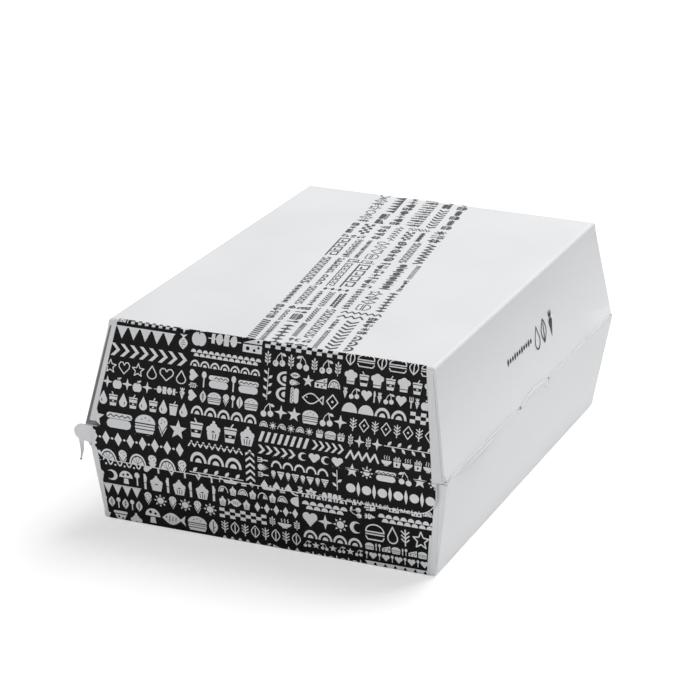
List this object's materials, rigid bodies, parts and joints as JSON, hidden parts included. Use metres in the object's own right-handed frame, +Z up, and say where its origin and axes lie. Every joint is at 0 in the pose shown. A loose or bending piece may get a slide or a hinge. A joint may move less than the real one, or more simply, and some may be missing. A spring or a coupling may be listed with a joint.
{
  "type": "takeaway box",
  "caption": "Folded card clamshell takeaway box with a flared tray, a hinged flared lid, a front flap over the tray and round locking ears.",
  "frame": {"origin": "middle of the base, on its underside", "axes": "+X to the right of the box seen from its front flap, +Y to the back crease, +Z up"},
  "size_m": [0.1393, 0.1906, 0.075],
  "materials": {
    "white_card": "coated white food board, satin",
    "printed_card": "black print on coated food board, satin"
  },
  "bodies": {
    "tray": {"tray": "white_card"},
    "lid": {"lid": "white_card"},
    "flap": {"front_flap": "printed_card"}
  },
  "joints": [
    {"name": "lid_crease", "type": "hinge", "parent": "tray", "child": "lid", "pos_m": [0, 0.09535, 0.037], "axis": [-1, 0, 0], "range_deg": [0, 170]},
    {"name": "flap_crease", "type": "hinge", "parent": "lid", "child": "flap", "pos_m": [0, -0.09535, 0.037], "axis": [-1, 0, 0], "range_deg": [0, 120]}
  ]
}
